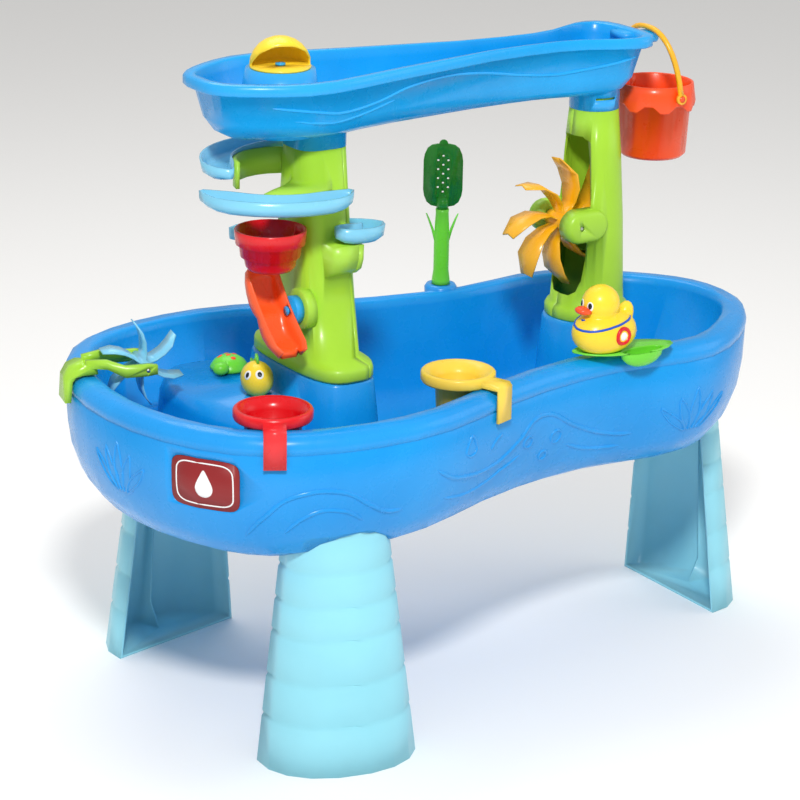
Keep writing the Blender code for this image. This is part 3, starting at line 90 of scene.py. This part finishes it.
def moulded(name, colour, roughness=0.30, vary=0.07, grain=0.05, coat=0.18, soft=0.03, shade=None):
    """Moulded plastic: cloudy colour, fine orange peel, slightly paler edges."""
    material = bpy.data.materials.new(name)
    material.use_nodes = True
    tree = material.node_tree
    shader = tree.nodes["Principled BSDF"]
    where = tree.nodes.new("ShaderNodeTexCoord")

    cloud = noise(tree, where, 7.0, 5.0)
    tones = tree.nodes.new("ShaderNodeValToRGB")
    low = shade or [channel * (1 - vary) for channel in colour]
    high = [min(channel * (1 + vary) + 0.004, 1) for channel in colour]
    tones.color_ramp.elements[0].position = 0.3
    tones.color_ramp.elements[0].color = (*low, 1)
    tones.color_ramp.elements[1].position = 0.7
    tones.color_ramp.elements[1].color = (*high, 1)
    tree.links.new(cloud.outputs["Fac"], tones.inputs["Fac"])

    shape = tree.nodes.new("ShaderNodeNewGeometry")
    edges = tree.nodes.new("ShaderNodeMapRange")
    edges.inputs["From Min"].default_value = 0.52
    edges.inputs["From Max"].default_value = 0.62
    edges.inputs["To Max"].default_value = EDGE_WEAR
    tree.links.new(shape.outputs["Pointiness"], edges.inputs["Value"])
    worn = tree.nodes.new("ShaderNodeMix")
    worn.data_type = "RGBA"
    pale = [channel + (1 - channel) * 0.30 for channel in colour]
    worn.inputs[7].default_value = (*pale, 1)
    tree.links.new(edges.outputs["Result"], worn.inputs[0])
    tree.links.new(tones.outputs["Color"], worn.inputs[6])
    tree.links.new(worn.outputs[2], shader.inputs["Base Color"])

    rub = noise(tree, where, 38.0, 6.0)
    gloss = tree.nodes.new("ShaderNodeMapRange")
    gloss.inputs["From Min"].default_value = 0.3
    gloss.inputs["From Max"].default_value = 0.7
    gloss.inputs["To Min"].default_value = max(roughness - 0.06, 0.05)
    gloss.inputs["To Max"].default_value = roughness + 0.08
    tree.links.new(rub.outputs["Fac"], gloss.inputs["Value"])
    tree.links.new(gloss.outputs["Result"], shader.inputs["Roughness"])

    peel = noise(tree, where, 420.0, 2.0)
    bump = tree.nodes.new("ShaderNodeBump")
    bump.inputs["Strength"].default_value = grain
    bump.inputs["Distance"].default_value = 0.001
    tree.links.new(peel.outputs["Fac"], bump.inputs["Height"])
    tree.links.new(bump.outputs["Normal"], shader.inputs["Normal"])

    shader.inputs["Specular IOR Level"].default_value = SPECULAR
    shader.inputs["Coat Weight"].default_value = coat * COAT_SHARE
    shader.inputs["Coat Roughness"].default_value = COAT_ROUGHNESS
    shader.inputs["Subsurface Weight"].default_value = soft
    shader.inputs["Subsurface Radius"].default_value = (SOFT_DEPTH,) * 3
    return material


def metal(name, colour):
    """Zinc-plated steel, slightly uneven."""
    material = moulded(name, colour, roughness=0.32, grain=0.10, coat=0.0, soft=0.0)
    material.node_tree.nodes["Principled BSDF"].inputs["Metallic"].default_value = 1.0
    return material


BASIN = moulded("basin_blue", (0.0006, 0.290, 0.74), roughness=0.27, coat=0.25, soft=0.0,
                shade=(0.0005, 0.262, 0.70))
TRAY = moulded("tray_blue", (0.004, 0.345, 0.77), roughness=0.27, coat=0.25, soft=0.0,
               shade=(0.0035, 0.315, 0.73))
LEG = moulded("leg_ice", (0.27, 0.66, 0.78), roughness=0.38, soft=0.0, vary=0.04)
ICE = moulded("channel_ice", (0.19, 0.56, 0.78), roughness=0.22, coat=0.35, soft=0.03)
LIME = moulded("lime", (0.36, 0.66, 0.035), roughness=0.34)
CLIP = moulded("clip_lime", (0.33, 0.64, 0.02), roughness=0.28)
RED = moulded("red", (0.72, 0.0008, 0.006), roughness=0.27, coat=0.3, soft=0.0,
              shade=(0.62, 0.0006, 0.005))
ORANGE = moulded("orange", (0.93, 0.075, 0.004), roughness=0.30, coat=0.25, soft=0.0,
                 shade=(0.88, 0.065, 0.003))
CHUTE = moulded("chute_orange", (0.93, 0.105, 0.016), roughness=0.28, coat=0.25)
YELLOW = moulded("yellow", (0.93, 0.66, 0.025), roughness=0.28, coat=0.25)
CREAM = moulded("cup_yellow", (0.90, 0.62, 0.06), roughness=0.30)
AMBER = moulded("amber", (0.92, 0.44, 0.003), roughness=0.28, coat=0.25, soft=0.0)
GREEN = moulded("green", (0.001, 0.30, 0.003), roughness=0.26, coat=0.3)
SPRING = moulded("spring_green", (0.15, 0.66, 0.035), roughness=0.28)
STEEL = metal("steel", (0.58, 0.59, 0.61))
BADGE = moulded("badge_red", (0.25, 0.0015, 0.004), roughness=0.36, coat=0.0, soft=0.0,
                shade=(0.23, 0.0012, 0.003))
WHITE = moulded("white", (0.82, 0.83, 0.84), roughness=0.30)
BLACK = moulded("black", (0.008, 0.008, 0.010), roughness=0.18, coat=0.5)
CORD_BLUE = moulded("cord_blue", (0.01, 0.09, 0.55), roughness=0.40)

LOOKS = {
    "tub": BASIN, "drain_plug": BASIN, "badge": BADGE,
    "leg_front_left": LEG, "leg_back_left": LEG, "leg_right": LEG,
    "leg_screw_1": STEEL, "leg_screw_2": STEEL, "leg_screw_3": STEEL,
    "spiral_tower_body": LIME, "spiral_tower_cover": LIME,
    "upper_channel": ICE, "middle_channel": ICE, "lower_channel": ICE,
    "funnel": RED, "chute": CHUTE, "chute_pivot": TRAY,
    "wheel_tower_front": LIME, "wheel_tower_back": LIME, "water_wheel": AMBER, "wheel_axle": STEEL,
    "upper_tray": TRAY, "dome": YELLOW, "dome_pin": TRAY, "bucket": ORANGE, "bucket_handle": AMBER,
    "spinner_clip": CLIP, "spinner_wheel": ICE, "spinner_axle": STEEL,
    "red_cup": RED, "yellow_cup": CREAM,
    "launcher_base": SPRING, "launcher_leaf": SPRING, "launcher_pin": STEEL,
    "duck": YELLOW, "duck_beak": ORANGE, "scoop_handle": SPRING, "scoop_blade": GREEN,
    "fish": YELLOW, "fish_crest": SPRING, "turtle": SPRING,
}


def finish_nodes():
    """Gives each CAD node its plastic, and shades its round faces smooth."""
    for name, node in nodes.items():
        node.data.materials.clear()
        node.data.materials.append(LOOKS[name])
        weld = node.modifiers.new("weld", "WELD")
        weld.merge_threshold = 0.00002
        node.data.shade_smooth()
        node.data.set_sharp_from_angle(angle=math.radians(42))


# ---------------------------------------------------------------- tools for relief

def surface(name):
    """A search tree of one CAD node's skin."""
    builder = bmesh.new()
    builder.from_mesh(nodes[name].data)
    tree = BVHTree.FromBMesh(builder)
    builder.free()
    return tree


def angles(count):
    """Evenly spaced angles around a full turn."""
    return [FULL_TURN * i / count for i in range(count)]


def smooth_path(points, steps, closed=False):
    """A smooth curve through the points."""
    points = [Vector(point) for point in points]
    count = len(points)
    result = []
    for i in range(count if closed else count - 1):
        a, b, c, d = [points[j % count] if closed else points[min(max(j, 0), count - 1)]
                      for j in (i - 1, i, i + 1, i + 2)]
        for k in range(steps):
            t = k / steps
            result.append(0.5 * ((2 * b) + (c - a) * t + (2 * a - 5 * b + 4 * c - d) * t * t
                                 + (3 * b - a - 3 * c + d) * t ** 3))
    if not closed:
        result.append(points[-1])
    return result


def join_rows(builder, rows, closed=False):
    """Quads between neighbouring rows of points, each row a ring."""
    pairs = list(zip(rows, rows[1:]))
    if closed:
        pairs.append((rows[-1], rows[0]))
    for one, two in pairs:
        for i in range(len(one)):
            j = (i + 1) % len(one)
            builder.faces.new((one[i], one[j], two[j], two[i]))


def make(name, builder, material, body):
    bmesh.ops.recalc_face_normals(builder, faces=builder.faces)
    mesh = bpy.data.meshes.new(name)
    builder.to_mesh(mesh)
    builder.free()
    mesh.shade_smooth()
    mesh.set_sharp_from_angle(angle=math.radians(50))
    mesh.materials.append(material)
    piece = bpy.data.objects.new(name, mesh)
    bpy.context.scene.collection.objects.link(piece)
    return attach(piece, body)


def laid(tree, starts, aim):
    """Where rays from the start points, along aim, first meet a surface."""
    found = []
    for start in starts:
        direction = aim(start) if callable(aim) else Vector(aim)
        place, normal = tree.ray_cast(start, direction.normalized())[:2]
        if place is not None:
            found.append((place, normal))
    return found


# Section across a ridge: share of the width, share of the height.  Both feet sink a little below the skin.
RIDGE_SECTION = ((-0.5, -0.6), (-0.42, 0.25), (-0.2, 0.85), (0, 1), (0.2, 0.85), (0.42, 0.25), (0.5, -0.6))


def ridge(name, tree, points, aim, material, body, width=0.005, height=0.0014, steps=6, closed=False):
    """A rounded raised line that follows a surface and tapers at open ends."""
    path = laid(tree, smooth_path(points, steps, closed), aim)
    builder = bmesh.new()
    rows = []
    count = len(path)
    for i, (place, normal) in enumerate(path):
        after = path[(i + 1) % count][0] if closed else path[min(i + 1, count - 1)][0]
        before = path[i - 1][0] if closed else path[max(i - 1, 0)][0]
        side = normal.cross(after - before).normalized()
        end = 1.0 if closed else min(min(i, count - 1 - i) / 3 + 0.2, 1.0)
        rows.append([builder.verts.new(place + side * across * width * end
                                       + normal * lift * height * (end if lift > 0 else 1))
                     for across, lift in RIDGE_SECTION])
    join_rows(builder, rows, closed)
    if not closed:
        builder.faces.new(rows[0])
        builder.faces.new(rows[-1])
    return make(name, builder, material, body)


# Layers of an inlay: share of the outline, share of the height
INLAY_LAYERS = ((1.0, -0.8), (0.97, 0.55), (0.80, 0.9), (0.4, 1.0))


def inlay(name, tree, outline, aim, material, body, height=0.0007):
    """A thin domed patch that follows a surface.  The outline's first point is its middle."""
    middle, edge = outline[0], outline[1:]
    builder = bmesh.new()
    direction = Vector(aim).normalized()
    layers = []
    for share, lift in INLAY_LAYERS:
        found = laid(tree, [middle + (point - middle) * share for point in edge], direction)
        if len(found) < len(edge):
            return None
        layers.append([builder.verts.new(place - direction * lift * height) for place, _ in found])
    peak = builder.verts.new(laid(tree, [middle], direction)[0][0] - direction * height)
    join_rows(builder, layers)
    for i in range(len(edge)):
        builder.faces.new((layers[-1][i], layers[-1][(i + 1) % len(edge)], peak))
    builder.faces.new(layers[0])
    return make(name, builder, material, body)


def oval(middle, along, across, steps=20):
    """An ellipse's middle and edge points."""
    middle, along, across = Vector(middle), Vector(along), Vector(across)
    return [middle] + [middle + along * math.cos(a) + across * math.sin(a) for a in angles(steps)]


# ---------------------------------------------------------------- basin relief

LONG_WAVE = ((-0.177, 0.393), (-0.152, 0.377), (-0.130, 0.369), (-0.085, 0.362), (-0.042, 0.366),
             (-0.007, 0.387), (0.020, 0.409), (0.056, 0.408), (0.095, 0.385), (0.134, 0.366),
             (0.175, 0.352), (0.211, 0.347))
LOW_WAVE = ((-0.155, 0.345), (-0.115, 0.336), (-0.070, 0.338), (-0.030, 0.350), (0.000, 0.362))
RIGHT_WAVE = ((0.095, 0.352), (0.130, 0.338), (0.165, 0.331), (0.195, 0.329))
BACK_WAVE = ((-0.150, 0.390), (-0.090, 0.362), (-0.030, 0.370), (0.030, 0.405), (0.090, 0.390),
             (0.150, 0.360), (0.220, 0.350), (0.290, 0.372))
HIGH_ARC = ((-0.425, 0.330), (-0.412, 0.360), (-0.390, 0.384), (-0.355, 0.394), (-0.315, 0.388),
            (-0.280, 0.366), (-0.255, 0.352), (-0.228, 0.348))
LOW_ARC = ((-0.385, 0.335), (-0.368, 0.356), (-0.343, 0.366), (-0.310, 0.360), (-0.285, 0.343))
DROP = ((-0.113, 0.424), (-0.104, 0.410), (-0.102, 0.402), (-0.108, 0.396), (-0.117, 0.396),
        (-0.123, 0.402), (-0.121, 0.410))
DASH = ((-0.070, 0.391), (-0.060, 0.402), (-0.046, 0.408))
BUBBLES = ((0.012, 0.378, 0.0085), (0.050, 0.347, 0.0070), (0.069, 0.372, 0.0095))

BOLD = {"width": 0.0075, "height": 0.0022}
PLAIN = {"width": 0.0065, "height": 0.0018}


def front(points):
    """Ray starts in front of the wall, from distance along the table and height."""
    return [Vector((x, -WALL_START, z)) for x, z in points]


def tuft(name, tub, middle, height, spread, aim, across, back_off):
    """Five reed leaves that fan out of one spot on the wall."""
    for number, lean in enumerate((-1.0, -0.5, 0.0, 0.5, 1.0), 1):
        tall = height * (1 - 0.35 * abs(lean))
        tip = middle + across * spread * lean + UP * tall
        foot = middle + across * spread * 0.22 * lean
        bend = across * 0.0085
        belly = foot.lerp(tip, 0.45)
        outline = [foot, belly - bend, tip, belly + bend]
        ridge(f"{name}_leaf_{number}", tub, [point + back_off for point in outline], aim, BASIN, "table",
              width=0.0042, height=0.0016, steps=5, closed=True)


def relieve_wall():
    """Waves, bubbles, drop, dash, arcs and reeds moulded into the basin wall."""
    tub = surface("tub")
    ridge("wall_wave_long", tub, front(LONG_WAVE), BACKWARD, BASIN, "table", **BOLD)
    ridge("wall_wave_low", tub, front(LOW_WAVE), BACKWARD, BASIN, "table", **PLAIN)
    ridge("wall_wave_right", tub, front(RIGHT_WAVE), BACKWARD, BASIN, "table", **PLAIN)
    for number, (x, z, radius) in enumerate(BUBBLES, 1):
        ring = [(x + radius * math.cos(a), z + radius * math.sin(a)) for a in angles(8)]
        ridge(f"wall_bubble_{number}", tub, front(ring), BACKWARD, BASIN, "table",
              width=0.0042, height=0.0016, steps=4, closed=True)
    ridge("wall_drop", tub, front(DROP), BACKWARD, BASIN, "table",
          width=0.0045, height=0.0017, steps=4, closed=True)
    ridge("wall_dash", tub, front(DASH), BACKWARD, BASIN, "table", width=0.0060, height=0.0018)
    ridge("wall_arc_high", tub, front(HIGH_ARC), BACKWARD, BASIN, "table", **BOLD)
    ridge("wall_arc_low", tub, front(LOW_ARC), BACKWARD, BASIN, "table", **PLAIN)
    tuft("reed_left", tub, Vector((-0.51, -0.045, 0.352)), 0.068, 0.052,
         RIGHTWARD, FORWARD, Vector((-0.2, 0, 0)))
    tuft("reed_right", tub, Vector((0.310, -0.20, 0.338)), 0.064, 0.060,
         BACKWARD, RIGHTWARD, Vector((0, -0.4, 0)))
    tuft("reed_back", tub, Vector((-0.250, 0.27, 0.352)), 0.060, 0.058,
         FORWARD, RIGHTWARD, Vector((0, 0.4, 0)))
    ridge("wall_wave_back", tub, [Vector((x, WALL_START, z)) for x, z in BACK_WAVE],
          FORWARD, BASIN, "table", **BOLD)


# ---------------------------------------------------------------- tray relief

TRAY_WAVE = ((-0.300, 0.838), (-0.255, 0.832), (-0.200, 0.824), (-0.140, 0.829), (-0.080, 0.842),
             (-0.010, 0.846), (0.060, 0.839), (0.120, 0.829), (0.180, 0.824), (0.240, 0.832),
             (0.290, 0.843))
TRAY_LOW_WAVE = ((-0.270, 0.819), (-0.215, 0.812), (-0.160, 0.817), (-0.110, 0.827))


def relieve_tray():
    """Two wave lines on each long side of the tray."""
    tray = surface("upper_tray")
    for side, name in ((-1, "front"), (1, "back")):
        aim = Vector((0, -side, 0))
        ridge(f"tray_wave_{name}", tray, [Vector((x, side * TRAY_START, z)) for x, z in TRAY_WAVE],
              aim, TRAY, "table", width=0.0050, height=0.0013)
        ridge(f"tray_wave_low_{name}", tray,
              [Vector((x, side * TRAY_START, z)) for x, z in TRAY_LOW_WAVE],
              aim, TRAY, "table", width=0.0042, height=0.0011)


# ---------------------------------------------------------------- badge

BADGE_LINE_HALF = (0.0405, 0.0285)
BADGE_LINE_SQUARENESS = 0.42
DROP_RADIUS = 0.0125
DROP_LIFT = 0.013


def mark_badge():
    """A plain white water drop inside a thin white line, on the badge plate."""
    badge = surface("badge")
    low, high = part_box("badge")
    along = Vector((high.x - low.x, low.y - high.y, 0)).normalized()
    outward = Vector((-high.y + low.y, low.x - high.x, 0)).normalized()
    middle = (low + high) / 2 + outward * BADGE_START

    def on_badge(points):
        return [middle + along * u + UP * v for u, v in points]

    def squared(value):
        return math.copysign(abs(value) ** BADGE_LINE_SQUARENESS, value)

    line = [(BADGE_LINE_HALF[0] * squared(math.cos(a)), BADGE_LINE_HALF[1] * squared(math.sin(a)))
            for a in angles(24)]
    ridge("badge_line", badge, on_badge(line), -outward, WHITE, "table",
          width=0.0022, height=0.0006, steps=2, closed=True)
    drop = [(0, -0.002)]
    for a in angles(28):
        lift = max(math.sin(a), 0) ** 3
        drop.append((DROP_RADIUS * math.cos(a) * (1 - 0.45 * lift),
                     -0.006 + DROP_RADIUS * math.sin(a) + DROP_LIFT * lift))
    inlay("badge_drop", badge, on_badge(drop), -outward, WHITE, "table", height=0.0006)


# ---------------------------------------------------------------- toys

def paint_duck():
    """The duck's eyes, neck cord and the ring on its flank."""
    duck = surface("duck")
    low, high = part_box("duck_beak")
    face = (low + high) / 2
    head = Vector((face.x + 0.019, face.y, face.z + 0.004))
    for side, name in ((-1, "near"), (1, "far")):
        look = Vector((-0.80, side * 0.60, 0.22)).normalized()
        start = head + look * 0.06
        along = look.cross(UP).normalized()
        inlay(f"duck_eye_white_{name}", duck, oval(start, along * 0.0050, UP * 0.0068), -look,
              WHITE, "duck", height=0.0007)
        inlay(f"duck_eye_dark_{name}", duck, oval(start + UP * 0.0004, along * 0.0031, UP * 0.0045),
              -look, BLACK, "duck", height=0.0012)

    neck = Vector((head.x + 0.002, head.y, head.z - 0.0225))
    loop = [neck + Vector((math.cos(a), math.sin(a), -0.10 * math.cos(a + 2.6))) * 0.06
            for a in angles(16)]
    ridge("duck_neck_cord", duck, loop, lambda p: Vector((neck.x - p.x, neck.y - p.y, 0)),
          CORD_BLUE, "duck", width=0.0038, height=0.0016, steps=3, closed=True)

    low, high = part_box("duck")
    flank = Vector((low.x * 0.42 + high.x * 0.58, low.y - 0.05, low.z + 0.026))
    ring = [flank + Vector((0.0105 * math.cos(a), 0, 0.0105 * math.sin(a))) for a in angles(12)]
    ridge("duck_ring", duck, ring, BACKWARD, RED, "duck",
          width=0.0062, height=0.0026, steps=3, closed=True)
    inlay("duck_ring_middle", duck, oval(flank, (0.0060, 0, 0), (0, 0, 0.0060)), BACKWARD,
          WHITE, "duck", height=0.0006)


def paint_fish():
    """The fish's two eyes."""
    fish = surface("fish")
    low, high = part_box("fish")
    middle = (low + high) / 2
    for look, name in ((Vector((-0.30, -0.75, 0.42)), "near"), (Vector((-0.85, -0.40, 0.42)), "far")):
        look.normalize()
        start = middle + look * 0.07
        over = (UP - look * look.z).normalized()
        along = look.cross(over).normalized()
        inlay(f"fish_eye_white_{name}", fish, oval(start, along * 0.0058, over * 0.0066), -look,
              WHITE, "fish", height=0.0008)
        inlay(f"fish_eye_dark_{name}", fish, oval(start, along * 0.0032, over * 0.0040), -look,
              BLACK, "fish", height=0.0013)


TURTLE_SPOTS = ((0.0, 0.0), (0.011, 0.003), (-0.010, 0.006), (0.001, -0.012), (0.004, 0.013))


def paint_turtle():
    """Orange spots on the turtle's shell."""
    turtle = surface("turtle")
    low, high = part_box("turtle")
    middle = (low + high) / 2
    for number, (u, v) in enumerate(TURTLE_SPOTS, 1):
        spot = Vector((middle.x + 0.003 + u, middle.y + 0.002 + v, high.z + 0.03))
        inlay(f"turtle_spot_{number}", turtle, oval(spot, (0.0038, 0, 0), (0, 0.0034, 0)), DOWN,
              ORANGE, "turtle", height=0.0006)


# ---------------------------------------------------------------- floor, light, camera

def lay_floor():
    builder = bmesh.new()
    bmesh.ops.create_grid(builder, x_segments=1, y_segments=1, size=FLOOR_SIZE)
    mesh = bpy.data.meshes.new("floor")
    builder.to_mesh(mesh)
    builder.free()
    paper = bpy.data.materials.new("floor_paper")
    paper.use_nodes = True
    shader = paper.node_tree.nodes["Principled BSDF"]
    shader.inputs["Base Color"].default_value = FLOOR_COLOUR
    shader.inputs["Roughness"].default_value = 0.9
    mesh.materials.append(paper)
    floor = bpy.data.objects.new("floor", mesh)
    bpy.context.scene.collection.objects.link(floor)


def lamp(name, place, target, size, power, colour=(1, 1, 1)):
    data = bpy.data.lights.new(name, "AREA")
    data.shape = "DISK"
    data.size = size
    data.energy = power
    data.color = colour
    light = bpy.data.objects.new(name, data)
    light.location = place
    light.rotation_euler = (Vector(target) - Vector(place)).to_track_quat("-Z", "Y").to_euler()
    bpy.context.scene.collection.objects.link(light)


def light_studio():
    """A key from the front left, a weak fill from the right, a top light and a pale sky."""
    lamp("key", (-1.7, -2.5, 3.1), (0, 0, 0.45), 0.5, 112, (1.0, 0.985, 0.96))
    lamp("fill", (3.0, -1.6, 1.8), (0, 0, 0.4), 2.4, 16, (0.95, 0.98, 1.0))
    lamp("top", (0.2, 1.4, 3.2), (0, 0, 0.5), 2.0, 30)
    world = bpy.data.worlds.new("studio")
    bpy.context.scene.world = world
    world.use_nodes = True
    sky = world.node_tree.nodes["Background"]
    sky.inputs["Color"].default_value = SKY_COLOUR
    sky.inputs["Strength"].default_value = SKY_STRENGTH


def place_camera():
    data = bpy.data.cameras.new("camera")
    data.lens = CAMERA_LENS
    data.sensor_width = CAMERA_SENSOR
    data.clip_end = 100
    camera = bpy.data.objects.new("camera", data)
    cosine, sine = math.cos(CAMERA_ROLL), math.sin(CAMERA_ROLL)
    x_axis = (CAMERA_RIGHT * cosine + CAMERA_UP * sine).normalized()
    y_axis = (CAMERA_UP * cosine - CAMERA_RIGHT * sine).normalized()
    z_axis = x_axis.cross(y_axis).normalized()
    turn = Matrix((x_axis, y_axis, z_axis)).transposed()
    camera.matrix_world = Matrix.Translation(CAMERA_PLACE) @ turn.to_4x4()
    bpy.context.scene.collection.objects.link(camera)
    bpy.context.scene.camera = camera
    bpy.context.scene.view_settings.view_transform = "Standard"


finish_nodes()
relieve_wall()
relieve_tray()
mark_badge()
paint_duck()
paint_fish()
paint_turtle()
lay_floor()
light_studio()
place_camera()
